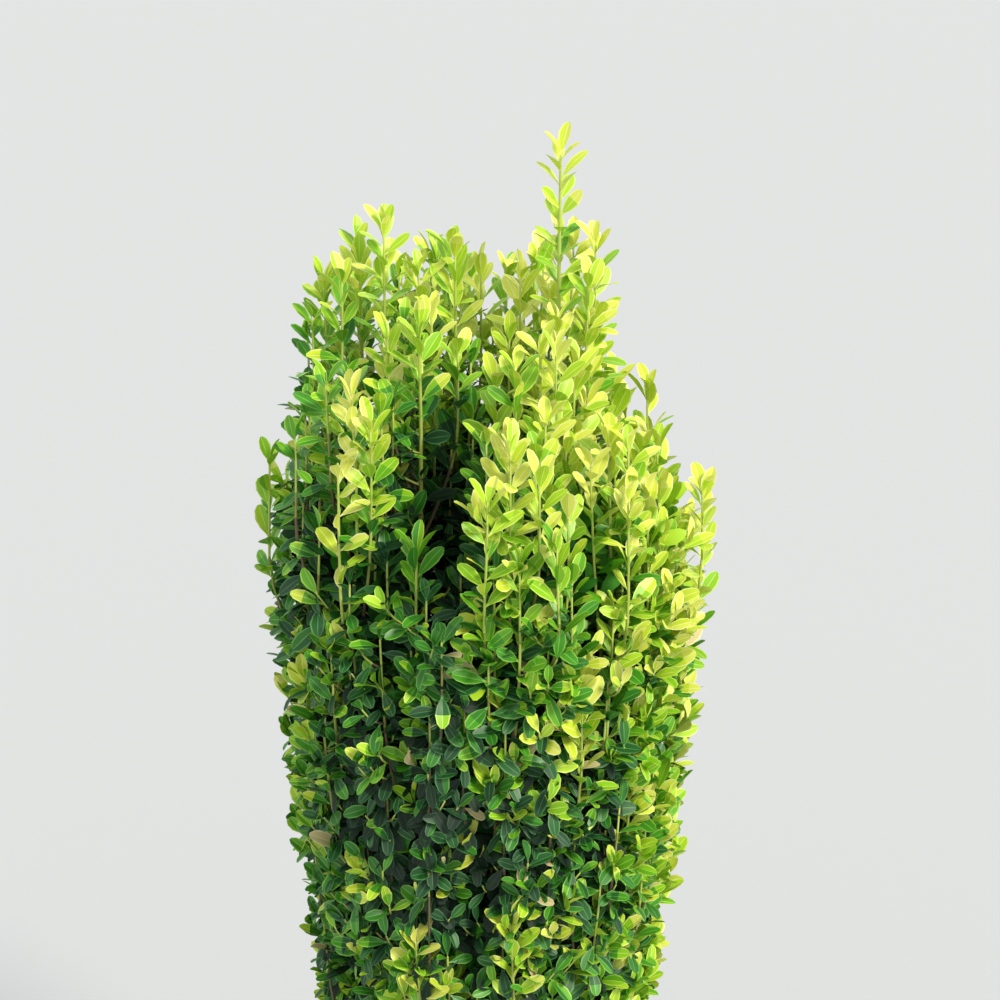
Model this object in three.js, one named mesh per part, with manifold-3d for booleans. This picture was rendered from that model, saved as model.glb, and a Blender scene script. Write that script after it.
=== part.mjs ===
// A columnar holly in a plain clay pot.
// Millimetres, +Z up. The origin is the centre of the pot's flat underside, and heights of
// the plant's own parts are measured up from the soil. -Y is the side the plant is seen from.
import * as THREE from "three";
import { mergeVertices } from "three/addons/utils/BufferGeometryUtils.js";
import Module from "manifold-3d";

const wasm = await Module();
wasm.setup();

// Pot and soil
const potHeight = 250;
const potBaseRadius = 100;
const potNeckRadius = 137;
const rimRadius = 151;
const rimDepth = 38;
const potEdge = 3;
const potWall = 9;
const potFloor = 12;
const drainRadius = 7;
const drainCircle = 52;
const drainCount = 3;
const soilBelowRim = 22;
const soilLevel = potHeight - soilBelowRim;
const soilCrown = 4;
const soilSlope = 22;
const potSides = 32;
const drainSides = 10;

// Two solids that rest on each other stay this far apart
const seatGap = 0.3;

// Crown: its reach from the trunk's line at a few heights above the soil
const crownOutline = [
  { height: 0, reach: 66 },
  { height: 50, reach: 88 },
  { height: 110, reach: 105 },
  { height: 209, reach: 122 },
  { height: 294, reach: 134 },
  { height: 454, reach: 146 },
  { height: 568, reach: 153 },
  { height: 660, reach: 147 },
  { height: 850, reach: 150 },
];

// Trunk, from a flat cut on the soil to the highest fork
const trunkHeight = 96;
const trunkRadius = 15;
const trunkTipRadius = 9;
const flareRadius = 11;
const flareHeight = 12;
const trunkLean = 3;
const trunkSides = 10;
const trunkSteps = 9;

// Boughs: each leaves the trunk at its fork, swings out over its rise, and then keeps one
// share of the crown's reach. Its foliage begins where its bare length ends
const rings = {
  outer: { share: 0.71, forks: [14, 32], rise: 84, bare: 40 },
  inner: { share: 0.36, forks: [58, 72], rise: 190, bare: 255 },
};
const shareSpread = 0.05;
const boughRadius = 5.4;
const boughTipRadius = 3.6;
const boughSides = 6;
const boughStep = 34;

// Spires of foliage: where each stands, in degrees round from +X, and how high its tip reaches
const outerSpires = [
  { name: "right", bearing: 3, tip: 664 },
  { name: "right_back", bearing: 36, tip: 704 },
  { name: "back_right", bearing: 72, tip: 750 },
  { name: "back_left", bearing: 108, tip: 752 },
  { name: "left_back", bearing: 143, tip: 786 },
  { name: "left", bearing: 180, tip: 706 },
  { name: "left_front", bearing: 215, tip: 728 },
  { name: "front_left", bearing: 246, tip: 628 },
  { name: "front_right", bearing: 277, tip: 702 },
  { name: "right_front", bearing: 318, tip: 690 },
];
const innerSpires = [
  { name: "tallest", bearing: 34, tip: 848 },
  { name: "inner_back", bearing: 112, tip: 780 },
  { name: "inner_left", bearing: 214, tip: 754 },
  { name: "inner_front", bearing: 308, tip: 742 },
];

// Stems: each swells to a dense middle, over parts of its length at the foot and the top
const stemRadius = 3.4;
const stemTipRadius = 1.8;
const stemMiddle = 8.5;
const swellFoot = 1 / 6;
const swellTop = 1 / 2;
const swellEnd = 0.86;
const stemSides = 4;
const stemSteps = 8;

// Side shoots of a stem
const shootsPerMass = 2;
const shootRadius = 2.4;
const shootTipRadius = 1.7;
const shootSides = 3;
const shootSteps = 3;
const shootLength = 150;
const shootFoot = 20;
const shootOffset = 21;
const shootOffsetShare = 0.15;
const shootBare = 0.4;
const shootTurn = { least: 30, most: 105 };

// Leaves, larger than life. Width, keel and widest place are shares of the length
const leafLength = 49;
const leafWidth = 0.56;
const leafKeel = 0.055;
const leafWidest = 0.58;
const leafSunk = 0.4;
const leafTilt = { low: 62, high: 42, end: 20 };
const leafSizes = [1, 0.85, 0.7, 0.58];
const leafTurns = 4;
const goldenTurn = 137.5;
const stemLeafSpacing = 15.5;
const shootLeafSpacing = 22;
const lastLeafAlong = 0.985;
const rootDepth = 1.4;

// Room that a leaf keeps: to its space's border, to other leaves and twigs, and to the soil
const spaceMargin = 0.9;
const leafApart = 9;
const lowestLeaf = 10;

const up = new THREE.Vector3(0, 0, 1);
const { degToRad, lerp, clamp } = THREE.MathUtils;

// A repeatable number from 0 to 1 for the k-th choice of a mass
function chance(seed, k) {
  const x = Math.sin(seed * 12.9898 + k * 78.233) * 43758.5453;
  return x - Math.floor(x);
}

// Solids from geometry and back
function solidOf(geometry) {
  const bare = geometry.index ? geometry.toNonIndexed() : geometry.clone();
  bare.deleteAttribute("normal");
  bare.deleteAttribute("uv");
  const merged = mergeVertices(bare, 1e-4);
  return new wasm.Manifold(
    new wasm.Mesh({
      numProp: 3,
      vertProperties: merged.attributes.position.array,
      triVerts: new Uint32Array(merged.index.array),
    }),
  );
}

function geometryOf(solid) {
  const mesh = solid.getMesh();
  const geometry = new THREE.BufferGeometry();
  geometry.setAttribute("position", new THREE.BufferAttribute(mesh.vertProperties, 3));
  geometry.setIndex(new THREE.BufferAttribute(mesh.triVerts, 1));
  const flat = geometry.toNonIndexed();
  flat.computeVertexNormals();
  return flat;
}

// Where fusing leaves a loose scrap, only the largest body is kept
function largestBody(solid) {
  return solid.decompose().reduce((a, b) => (b.volume() > a.volume() ? b : a));
}

// A closed tapering tube along a curve: a cylinder bent onto it. A level one has flat ends
function limb(curve, radiusAt, sides, steps, level = false) {
  const tube = new THREE.CylinderGeometry(1, 1, 1, sides, steps);
  const position = tube.attributes.position;
  const turn = new THREE.Quaternion();
  const point = new THREE.Vector3();
  for (let i = 0; i < position.count; i += 1) {
    const along = clamp(position.getY(i) + 0.5, 0, 1);
    turn.setFromUnitVectors(up, level ? up : curve.getTangent(along));
    point.set(position.getX(i), -position.getZ(i), 0);
    point.multiplyScalar(radiusAt(along)).applyQuaternion(turn).add(curve.getPoint(along));
    position.setXYZ(i, point.x, point.y, point.z);
  }
  return tube;
}

function crownReach(height) {
  const top = crownOutline.findIndex((level) => level.height >= height);
  if (top < 0) return crownOutline.at(-1).reach;
  if (top === 0) return crownOutline[0].reach;
  const [below, above] = [crownOutline[top - 1], crownOutline[top]];
  const part = (height - below.height) / (above.height - below.height);
  return lerp(below.reach, above.reach, part);
}

// Every spire with its ring's share and heights, and its seed
function makeSpires() {
  const listed = [
    ...outerSpires.map((spire) => ({ ...spire, ring: rings.outer })),
    ...innerSpires.map((spire) => ({ ...spire, ring: rings.inner })),
  ];
  return listed.map(({ name, bearing, tip, ring }, k) => {
    const seed = k + 1;
    const fork = ring.forks[k % ring.forks.length];
    return {
      name,
      tip,
      seed,
      fork,
      rise: ring.rise,
      enters: fork + ring.bare,
      share: ring.share + shareSpread * (chance(seed, 2) - 0.5),
      bearing: degToRad(bearing),
    };
  });
}

const spires = makeSpires();

function trunkPoint(height) {
  return new THREE.Vector3((trunkLean * height) / trunkHeight, 0, soilLevel + height);
}

function trunkReach(height) {
  const flare = flareRadius * Math.exp(-height / flareHeight);
  return lerp(trunkRadius, trunkTipRadius, clamp(height / trunkHeight, 0, 1)) + flare;
}

// The line that a spire's bough and stem follow
function linePoint(spire, height) {
  const risen = clamp((height - spire.fork) / spire.rise, 0, 1);
  const out = spire.share * crownReach(height) * Math.sin((risen * Math.PI) / 2);
  const root = trunkPoint(Math.min(height, trunkHeight));
  return new THREE.Vector3(
    root.x * (1 - risen) + out * Math.cos(spire.bearing),
    out * Math.sin(spire.bearing),
    soilLevel + height,
  );
}

class SpireLine extends THREE.Curve {
  constructor(spire, from, to) {
    super();
    Object.assign(this, { spire, from, to });
  }
  getPoint(along, target = new THREE.Vector3()) {
    return target.copy(linePoint(this.spire, lerp(this.from, this.to, along)));
  }
}

// Where the other spires' lines stand at a height
function otherLines(height, own) {
  return spires
    .filter((other) => other !== own && height >= other.fork && height < other.tip + leafLength / 2)
    .map((other) => linePoint(other, height));
}

// True if a point is nearer to its own line than to any other, off the trunk and inside
// the crown's outline
function keepsSpace(spire, point) {
  const height = point.z - soilLevel;
  if (height < lowestLeaf || height > spire.tip) return false;
  if (Math.hypot(point.x, point.y) > crownReach(height)) return false;
  const trunk = trunkPoint(height);
  const toTrunk = Math.hypot(point.x - trunk.x, point.y - trunk.y) - trunkReach(height);
  if (height < trunkHeight + trunkTipRadius && toTrunk < 2 * spaceMargin) return false;
  const own = linePoint(spire, Math.max(height, spire.fork));
  const ownDistance = Math.hypot(point.x - own.x, point.y - own.y);
  return otherLines(height, spire).every((other) => {
    const apart = Math.hypot(other.x - own.x, other.y - own.y);
    const distance = Math.hypot(point.x - other.x, point.y - other.y);
    const toBorder = (distance ** 2 - ownDistance ** 2) / (2 * apart);
    return toBorder > spaceMargin;
  });
}

// How thick a stem is at a height
function stemReach(spire, height) {
  const along = clamp((height - spire.enters) / (spire.tip - spire.enters), 0, 1);
  const ends = Math.min(along / swellFoot, (swellEnd - along) / swellTop);
  const swell = Math.sqrt(clamp(ends, 0, 1));
  return lerp(stemRadius, stemTipRadius, along) + (stemMiddle - stemRadius) * swell;
}

// One leaf: a diamond blade with a keel under its midrib, its root sunk in the twig
function leaf(root, twigWay, outWay, length, tilt) {
  const along = twigWay.clone().multiplyScalar(Math.cos(tilt));
  along.addScaledVector(outWay, Math.sin(tilt));
  const face = twigWay.clone().multiplyScalar(Math.sin(tilt));
  face.addScaledVector(outWay, -Math.cos(tilt));
  const across = new THREE.Vector3().crossVectors(along, face);
  const at = (x, y, z) =>
    root
      .clone()
      .addScaledVector(across, x * length)
      .addScaledVector(along, y * length - leafSunk)
      .addScaledVector(face, z * length);
  const foot = at(0, 0, 0);
  const tip = at(0, 1, 0);
  const left = at(-leafWidth / 2, leafWidest, 0);
  const right = at(leafWidth / 2, leafWidest, 0);
  const keel = at(0, leafWidest, -leafKeel);
  const faces = [
    [foot, right, left],
    [tip, left, right],
    [foot, keel, right],
    [foot, left, keel],
    [tip, keel, left],
    [tip, right, keel],
  ];
  return {
    blade: new THREE.BufferGeometry().setFromPoints(faces.flat()),
    corners: [foot, tip, left, right, keel],
    spine: [0.35, 0.6, 0.8, 1].map((part) => at(0, part, 0)),
  };
}

// True if a leaf keeps to its mass's space and crosses no other leaf or twig of it
function leafFits(spire, { corners, spine }, leaves, marks) {
  const near = (a) => spine.some((b) => a.distanceTo(b) < leafApart);
  const crossed = marks.some(near) || leaves.some((other) => other.spine.some(near));
  return !crossed && corners.every((point) => keepsSpace(spire, point));
}

// Adds leaves set round a twig by the golden turn, over the part of it that is past `from`.
// One that doesn't fit is made smaller, then turned on, and after a few turns is skipped
function addLeaves(leaves, spire, { curve, from, rootOut, seed }, spacing, marks) {
  const count = Math.floor((curve.getLength() * (1 - from)) / spacing);
  const outward = new THREE.Vector3(Math.cos(spire.bearing), Math.sin(spire.bearing), 0);
  for (let n = 0; n <= count; n += 1) {
    const along = lerp(from, lastLeafAlong, n / Math.max(count, 1));
    const middle = curve.getPoint(along);
    const twigWay = curve.getTangent(along);
    const height = middle.z - soilLevel;
    const open = lerp(leafTilt.low, leafTilt.high, height / spire.tip);
    const tilt = degToRad(n < count ? open : leafTilt.end);
    const full = leafLength * lerp(0.92, 1.08, chance(spire.seed, 17 * seed + n + 5));
    for (let go = 0; go < leafTurns * leafSizes.length; go += 1) {
      const turn = goldenTurn * (n + 1.7 * seed + Math.floor(go / leafSizes.length));
      const outWay = outward.clone().applyAxisAngle(up, degToRad(turn));
      outWay.addScaledVector(twigWay, -outWay.dot(twigWay)).normalize();
      const root = middle.clone().addScaledVector(outWay, rootOut(height));
      const made = leaf(root, twigWay, outWay, full * leafSizes[go % leafSizes.length], tilt);
      if (leafFits(spire, made, leaves, marks)) {
        leaves.push(made);
        break;
      }
    }
  }
}

// A side shoot: out from the stem, then up beside it
function shootCurve(spire, height, turn, length) {
  const offset = Math.min(shootOffset, shootOffsetShare * crownReach(height + length));
  const upright = 0.6;
  const points = [0, 0.22, upright, 1].map((along) => {
    const at = linePoint(spire, Math.min(height + along * length, spire.tip));
    const out = offset * Math.sin((Math.min(along / upright, 1) * Math.PI) / 2);
    at.x += out * Math.cos(spire.bearing + turn);
    at.y += out * Math.sin(spire.bearing + turn);
    at.z = soilLevel + height + along * length;
    return at;
  });
  return new THREE.CatmullRomCurve3(points);
}

// The side shoots of a mass, the first low and the last high, on two sides of the stem
function makeShoots(spire) {
  const shoots = [];
  const top = spire.tip - 0.7 * leafLength;
  const highest = top - 0.8 * shootLength;
  for (let k = 1; k <= shootsPerMass; k += 1) {
    const height = lerp(spire.enters + shootFoot, highest, (k - 1) / (shootsPerMass - 1));
    const side = k % 2 ? 1 : -1;
    const turn = side * lerp(shootTurn.least, shootTurn.most, chance(spire.seed, k));
    const full = shootLength * lerp(0.85, 1.15, chance(spire.seed, k + 50));
    const curve = shootCurve(spire, height, degToRad(turn), Math.min(full, top - height));
    if ([0.5, 1].every((along) => keepsSpace(spire, curve.getPoint(along)))) {
      shoots.push({ curve, from: shootBare, rootOut: () => 0, seed: k });
    }
  }
  return shoots;
}

// A mass of foliage: a stem with its dense middle, side shoots and leaves, fused in one solid
function makeMass(spire) {
  const line = new SpireLine(spire, spire.enters + seatGap, spire.tip - 0.6 * leafLength);
  const stemRadiusAt = (along) => stemReach(spire, lerp(line.from, line.to, along));
  let solid = solidOf(limb(line, stemRadiusAt, stemSides, stemSteps));

  const shoots = makeShoots(spire);
  const shootRadiusAt = (along) => lerp(shootRadius, shootTipRadius, along);
  for (const { curve } of shoots) {
    solid = solid.add(solidOf(limb(curve, shootRadiusAt, shootSides, shootSteps)));
  }

  // A leaf's root lies inside the flat sides of the stem
  const flatSide = Math.cos(Math.PI / stemSides);
  const rootOut = (height) => Math.max(stemReach(spire, height) * flatSide - rootDepth, 0);
  const shootMarks = shoots.map(({ curve }) => curve.getPoints(10).slice(3));
  const leaves = [];
  const stem = { curve: line, from: 0.02, rootOut, seed: 0 };
  addLeaves(leaves, spire, stem, stemLeafSpacing, shootMarks.flat());
  shoots.forEach((shoot, k) => {
    const marks = shootMarks.filter((_, other) => other !== k).flat();
    addLeaves(leaves, spire, shoot, shootLeafSpacing, marks);
  });
  for (const { blade } of leaves) {
    solid = solid.add(solidOf(blade));
  }
  return largestBody(solid);
}

function makeBough(spire, trunkRoom) {
  const curve = new SpireLine(spire, spire.fork, spire.enters);
  const radiusAt = (along) => lerp(boughRadius, boughTipRadius, along);
  const steps = Math.max(3, Math.round((spire.enters - spire.fork) / boughStep));
  const bough = solidOf(limb(curve, radiusAt, boughSides, steps));
  return largestBody(bough.subtract(trunkRoom));
}

// The trunk, or with some extra all round, the room that boughs are cut back from
function trunkGeometry(extra) {
  const line = new THREE.LineCurve3(
    trunkPoint(seatGap - extra),
    trunkPoint(trunkHeight + extra),
  );
  const radiusAt = (along) => trunkReach(along * trunkHeight) + extra;
  return limb(line, radiusAt, trunkSides, trunkSteps, true);
}

// A turned solid from a profile of [radius, height] pairs that starts and ends on the axis
function turned(profile) {
  const points = profile.map(([radius, height]) => new THREE.Vector2(radius, height));
  return new THREE.LatheGeometry(points, potSides).rotateX(Math.PI / 2);
}

function potInnerRadius(height) {
  const slope = (potNeckRadius - potBaseRadius) / (potHeight - rimDepth);
  return potBaseRadius - potWall + slope * height;
}

function makePot() {
  const neck = potHeight - rimDepth;
  let pot = solidOf(
    turned([
      [0, 0],
      [potBaseRadius - potEdge, 0],
      [potBaseRadius, potEdge],
      [potNeckRadius, neck],
      [rimRadius - potEdge, neck],
      [rimRadius - 1, neck + potEdge],
      [rimRadius, potHeight - potEdge],
      [rimRadius - potEdge, potHeight],
      [potInnerRadius(potHeight) + potEdge, potHeight],
      [potInnerRadius(potHeight), potHeight - potEdge],
      [potInnerRadius(potFloor), potFloor],
      [0, potFloor],
    ]),
  );
  for (let k = 0; k < drainCount; k += 1) {
    const angle = (2 * Math.PI * k) / drainCount;
    const drill = new THREE.CylinderGeometry(drainRadius, drainRadius, 4 * potFloor, drainSides);
    drill.rotateX(Math.PI / 2);
    drill.translate(drainCircle * Math.cos(angle), drainCircle * Math.sin(angle), 0);
    pot = pot.subtract(solidOf(drill));
  }
  return pot;
}

// The filling of the pot, level in the middle and lower along the wall
function makeSoil() {
  const floor = potFloor + seatGap;
  const edgeHeight = soilLevel - soilCrown;
  return solidOf(
    turned([
      [0, floor],
      [potInnerRadius(floor) - 2 * seatGap, floor],
      [potInnerRadius(edgeHeight) - 2 * seatGap, edgeHeight],
      [potInnerRadius(edgeHeight) - soilSlope, soilLevel],
      [0, soilLevel],
    ]),
  );
}

// Colours and finish, as the plant shows them
const clay = new THREE.MeshStandardMaterial({ color: "#b5694a", roughness: 0.85, metalness: 0 });
const compost = new THREE.MeshStandardMaterial({ color: "#3a2a1e", roughness: 1, metalness: 0 });
const bark = new THREE.MeshStandardMaterial({ color: "#7d6a55", roughness: 0.9, metalness: 0 });
const limeLeaf = new THREE.MeshStandardMaterial({ color: "#9fc22e", roughness: 0.5, metalness: 0 });
const greenLeaf = new THREE.MeshStandardMaterial({ color: "#4c8a2a", roughness: 0.45, metalness: 0 });

const plant = new THREE.Group();

function place(name, solid, material) {
  const mesh = new THREE.Mesh(geometryOf(solid), material);
  mesh.name = name;
  plant.add(mesh);
}

place("pot", makePot(), clay);
place("soil", makeSoil(), compost);
place("trunk", solidOf(trunkGeometry(0)), bark);

// The left side is the shaded, greener one
const trunkRoom = solidOf(trunkGeometry(2 * seatGap));
for (const spire of spires) {
  const shaded = Math.cos(spire.bearing) < -0.5;
  place(`bough_${spire.name}`, makeBough(spire, trunkRoom), bark);
  place(`foliage_${spire.name}`, makeMass(spire), shaded ? greenLeaf : limeLeaf);
}

export default plant;
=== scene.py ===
# A columnar holly in a plain clay pot, dressed for a studio picture.
# Lengths are in millimetres and turn to metres where a mesh is made. Heights on the plant are
# measured up from the soil. The camera looks along +Y, so -Y is the plant's front.
import math
from types import SimpleNamespace

import bmesh
import bpy
import numpy as np
from mathutils import Matrix, Vector, noise


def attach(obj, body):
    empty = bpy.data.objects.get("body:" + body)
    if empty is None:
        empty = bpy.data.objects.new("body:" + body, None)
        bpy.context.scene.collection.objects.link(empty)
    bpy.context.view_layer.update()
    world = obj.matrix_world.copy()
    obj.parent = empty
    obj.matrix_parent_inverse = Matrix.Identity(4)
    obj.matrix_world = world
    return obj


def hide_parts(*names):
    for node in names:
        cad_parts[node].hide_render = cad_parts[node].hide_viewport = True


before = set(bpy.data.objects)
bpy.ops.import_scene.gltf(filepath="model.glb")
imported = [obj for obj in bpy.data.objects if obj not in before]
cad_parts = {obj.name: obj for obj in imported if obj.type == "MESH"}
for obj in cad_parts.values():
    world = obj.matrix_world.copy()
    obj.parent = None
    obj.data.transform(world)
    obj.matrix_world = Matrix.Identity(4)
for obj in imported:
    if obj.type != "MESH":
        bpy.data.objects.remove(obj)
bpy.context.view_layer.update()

MM = 0.001
BODY = "root"
TINY = 1e-6

# Pot and soil, as in the part. The soil slopes down to the pot's wall by its crown
POT_HEIGHT = 250
POT_BASE_RADIUS = 100
POT_NECK_RADIUS = 137
RIM_RADIUS = 151
RIM_DEPTH = 38
POT_WALL = 9
POT_FLOOR = 12
DRAIN_RADIUS = 7
DRAIN_CIRCLE = 52
DRAIN_COUNT = 3
SOIL_BELOW_RIM = 22
SOIL_LEVEL = POT_HEIGHT - SOIL_BELOW_RIM
SOIL_CROWN = 4
SOIL_EDGE = SOIL_LEVEL - SOIL_CROWN
SOIL_SLOPE = 22
SEAT_GAP = 0.3
SIDE_GAP = 0.6

# Pot's finish: the roundness of its edges and the rings that throwing left in the clay
EDGE = 3.5
RIM_EDGE = 6
RING_PITCH = 9
WIDE_RING_PITCH = 24.3
RING_DEPTH = 0.28
POT_SIDES = 128
FINE_STEP = 2.2
COARSE_STEP = 12

# Compost: lumps in layers, each with its fineness and strength, and loose crumbs and fibres
LUMP_SIZE = 11
LUMP_HEIGHT = 1.7
LUMP_LAYERS = ((1, 1), (2.3, 0.5), (5.1, 0.3))
CRUMB_COUNT = 1500
CRUMB_SIZES = (1.6, 5.6)
SMALL_CRUMB = 2.8
FIBRE_COUNT = 160
FIBRE_LENGTHS = (5, 14)

# Bark: the depth of its fissures, and their width and length
TRUNK_FISSURES = 1.5
BOUGH_FISSURES = 0.45
FISSURE_WIDTH = 5
FISSURE_LENGTH = 24
LIMB_SINK = 3

# The crown's reach from the trunk's line, at a few heights
CROWN_HEIGHTS = (0, 50, 110, 209, 294, 454, 568, 660, 850)
CROWN_REACHES = (66, 88, 105, 122, 134, 146, 153, 147, 150)

# Trunk
TRUNK_HEIGHT = 96
TRUNK_RADIUS = 15
TRUNK_TIP_RADIUS = 9
FLARE_RADIUS = 11
FLARE_HEIGHT = 12
TRUNK_LEAN = 3
TRUNK_GAP = 1.8

# Boughs, in two rings: the share of the crown's reach, the heights of the forks, the rise in
# which a bough swings out, and its length below its foliage
OUTER = SimpleNamespace(share=0.71, forks=(14, 32), rise=84, bare=40)
INNER = SimpleNamespace(share=0.36, forks=(58, 72), rise=190, bare=255)
SHARE_SPREAD = 0.05
BOUGH_RADII = (5.4, 3.6)

# Spires of foliage: bearing in degrees round from +X, height of the tip, and how young the
# leader looks, from 0, an old dark one, to 1, a yellow one
OUTER_SPIRES = {
    "right": (3, 664, 0.85),
    "right_back": (36, 704, 0.8),
    "back_right": (72, 750, 0.75),
    "back_left": (108, 752, 0.7),
    "left_back": (143, 786, 0.74),
    "left": (180, 706, 0.62),
    "left_front": (215, 728, 0.5),
    "front_left": (246, 628, 0.6),
    "front_right": (277, 702, 1),
    "right_front": (318, 690, 0.86),
}
INNER_SPIRES = {
    "tallest": (34, 848, 0.84),
    "inner_back": (112, 780, 0.78),
    "inner_left": (214, 754, 0.7),
    "inner_front": (308, 742, 0.88),
}

# Tops of the spires: how far below the tip the highest shoot and the stem end, and how much
# further out shoots stand for each mm down. Some leaders stand alone
PLAIN_TOP = (16, 18, 0.55)
LONE_TOPS = {
    "tallest": (80, 18, 0.24),
    "left_back": (34, 42, 0.55),
    "inner_back": (26, 28, 0.55),
    "left": (40, 40, 0.14),
    "right_back": (46, 44, 0.4),
    "right": (30, 30, 0.2),
}

# Single shoots that stand apart: spire, x, y and height of the tip, and youth
LONE_SHOOTS = (
    ("left", -141, -12, 636, 0.6),
    ("right", 139, -22, 618, 0.8),
    ("left_back", -108, 66, 734, 0.66),
    ("left_back", -68, 48, 776, 0.74),
    ("left_front", -81, -82, 708, 1),
    ("left_front", -90, -95, 671, 0.97),
    ("left_front", -71, -90, 690, 0.7),
    ("left_front", -107, -80, 505, 0.52),
    ("front_right", 61, -118, 528, 0.92),
    ("front_right", 18, -126, 362, 0.88),
    ("front_left", -45, -118, 336, 0.9),
)

# Shoots: each leaves its stem, swings out and then stands upright beside it
SHOOT_STEP = 9.5
SHOOT_LENGTH = (112, 188)
SHOOT_LOWEST_TIP = 84
INNER_LOWEST_TIP = 500
SHOOT_UPRIGHT = 0.6

# A shoot tries some turns round its stem, each as far out as it fits at three places along
# it, and takes the one where its tip stands furthest from the others
SHOOT_TRIES = 11
SHOOT_TURN = 130
SHOOT_OFFSETS = np.arange(42, 5, -2.0)
SHOOT_PLACES = (0.45, 0.75, 1.0)
SHOOT_SETBACK = (10, 24)
SHOOT_APART = (14, 14, 40)
LEAST_APART = 0.75
ENOUGH_APART = 1.6

# The first number of each kind of choice about a shoot
LENGTH_CHOICE, SETBACK_CHOICE, SWAY_CHOICE, SPRIG_CHOICE, LONE_CHOICE = 50, 70, 90, 150, 300

# Bays in the crown's front that no shoot's tip stands in: height of the foot, left and right
# x, and y of the back. In the first one painted shade darkens the leaves up to a higher roof
BAYS = ((590, -60, -1, -12), (600, -104, -62, -92))
BAY_ROOF = 60

# Dark channels between the shoots: bearing in degrees, the heights between which each one
# runs, half its width, and its depth
CHANNELS = (
    (222, 565, 715, 13, 46),
    (245, 360, 530, 9, 24),
    (256, 575, 720, 14, 34),
    (304, 380, 520, 8, 20),
    (304, 545, 640, 8, 24),
    (331, 615, 730, 11, 40),
)
CHANNEL_END = 20

# Shallower grooves wind round the whole crown, where waves add up: the number of each round
# it, the rise for each radian, the strength, and the start
GROOVE_WAVES = ((5, 120, 1, 0), (9, -85, 0.9, 2), (3, 29, 0.7, 0), (4, -13, 0.8, 0))
GROOVE_EDGES = (0.4, 2.2)
GROOVE_DEPTH = 17

# Sprigs: short side twigs on the open side of a stem, or of a shoot that stands back from
# the outline, and inner ones round a stem. Each run of them has its ends, as mm below the tip
# or as shares of the length, and its step
SPRIG_LENGTH = (20, 40)
SPRIG_SETBACK = (20, 30)
SPRIG_SHARE = 0.62
SPRIG_TOP = 600
OPEN_SWING = (2, 74)
STEM_SPRIGS = (48, 190, 24)
SHOOT_SPRIGS = (0.05, 0.66, 19)
INNER_SPRIGS = (150, 0.9, 12)
INNER_SWING = (60, 170)
INNER_YOUTH = 0.25

# Kinds of twig: radii at foot and tip, the brown share of an old and of a young one, its
# bare share, the spacing and size of its leaves, and the sides and steps of its mesh
STEM = dict(radii=(3.6, 0.8), ripe=(0.7, 0.6), bare=0.1, spacing=5.4, size=1.04, sides=8, steps=30)
SHOOT = dict(radii=(1.4, 0.7), ripe=(0.9, 0.2), bare=0.2, spacing=6.4, size=1, sides=5, steps=9)
SPRIG = dict(radii=(0.9, 0.6), ripe=(0.6, -0.2), bare=0.12, spacing=6, size=0.95, sides=4, steps=4)
HALF_RIPE = 0.16

# Youth grows with the height, and more in a sunny band on the right, which widens and
# brightens upward: partly the sunlit leaves' own yellower tint, partly painted light. The left
# gains a little low down, and its shaded upper part loses some as painted shade
FOOT_YOUTH = 0.2
RISE_GAIN = 0.5
YOUTH_RISE = (470, 690)
SUN_BEARING = math.radians(8)
SUN_BAND = (0.42, 0.82)
SUN_WIDER = 0.22
SUN_WIDENS = (480, 560)
LOW_SUN = 0.7
SUN_BRIGHTENS = (340, 560)
SUN_GAIN = (0.56, 0.1)
LEFT_BAND = (0.6, 0.95)
LEFT_GAIN = (0.08, -0.1)
SHADE_LOSS = 0.24
SHADE_BEGINS = (-10, 70)
SHADE_ENDS = (705, 745)
LEAST_YOUTH = 0.02

# Beside one of the youngest leaders the shoots are nearly as bright as it is
BRIGHT_SPIRE = "front_right"
BRIGHT_REACH = 16
BRIGHT_FOOT = 500
BRIGHT_GAIN = 0.2

# Patches where the shoots are older or younger: bearing and half the width in degrees, the
# heights between which each one lies, and the change in youth
PATCHES = (
    (285, 50, 355, 485, -0.12),
    (244, 34, 400, 560, -0.22),
    (247, 28, 590, 625, 0.13),
    (222, 26, 560, 650, 0.16),
    (302, 26, 300, 450, 0.16),
)
PATCH_END = 25

# The chance that a shoot is much younger than its neighbours, at a few heights, or a sprig
FRESH_CHANCES = (250, 340, 420, 520), (0.32, 0.12, 0.1, 0.16)
FRESH_GAIN = 0.42

# Leaves. The width is a share of the length. Near a twig's tip they are crowded and steep, and
# old ones stand off and droop
LEAF_LENGTH = 24.2
OLD_LEAF_LENGTH = 21.5
GROWN_YOUTH = (0.2, 0.7)
OLD_YOUTH = (0.15, 0.6)
TIP_LEAVES = 2.4
CROWDED_LEAVES = 3.2
LEAF_WIDTH = 0.41
TIP_TILT = 18
SIDE_TILTS = (18, 58)
AGED_TILTS = (26, 46)
AGED_DISTANCE = 90
LONE_SPACING = 4.8
GOLDEN_TURN = 137.5
LEAF_OUTWARD = 0.22
LEAF_TURNED = (0.4, 1.7)
LIGHT_OUTWARD = 0.85
LIGHT_UP = 0.6
OPEN_TOP = (640, 740)
SKY_LIGHT = (0.35, -0.6, 0.8)
LOWEST_LEAF = 10
TURNED_UP = 0.55

# Half a leaf's width at a few places along it, and where its rim, blade and midrib part
LEAF_ALONG = np.array([0, 0.16, 0.38, 0.63, 0.87, 0.99])
LEAF_HALF = np.array([0.07, 0.22, 0.74, 1, 0.76, 0.24])
LEAF_ACROSS = np.array([-1, -0.8, -0.06, 0.06, 0.8, 1])
HIDDEN_ACROSS = np.array([-1.0, 1])

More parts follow.
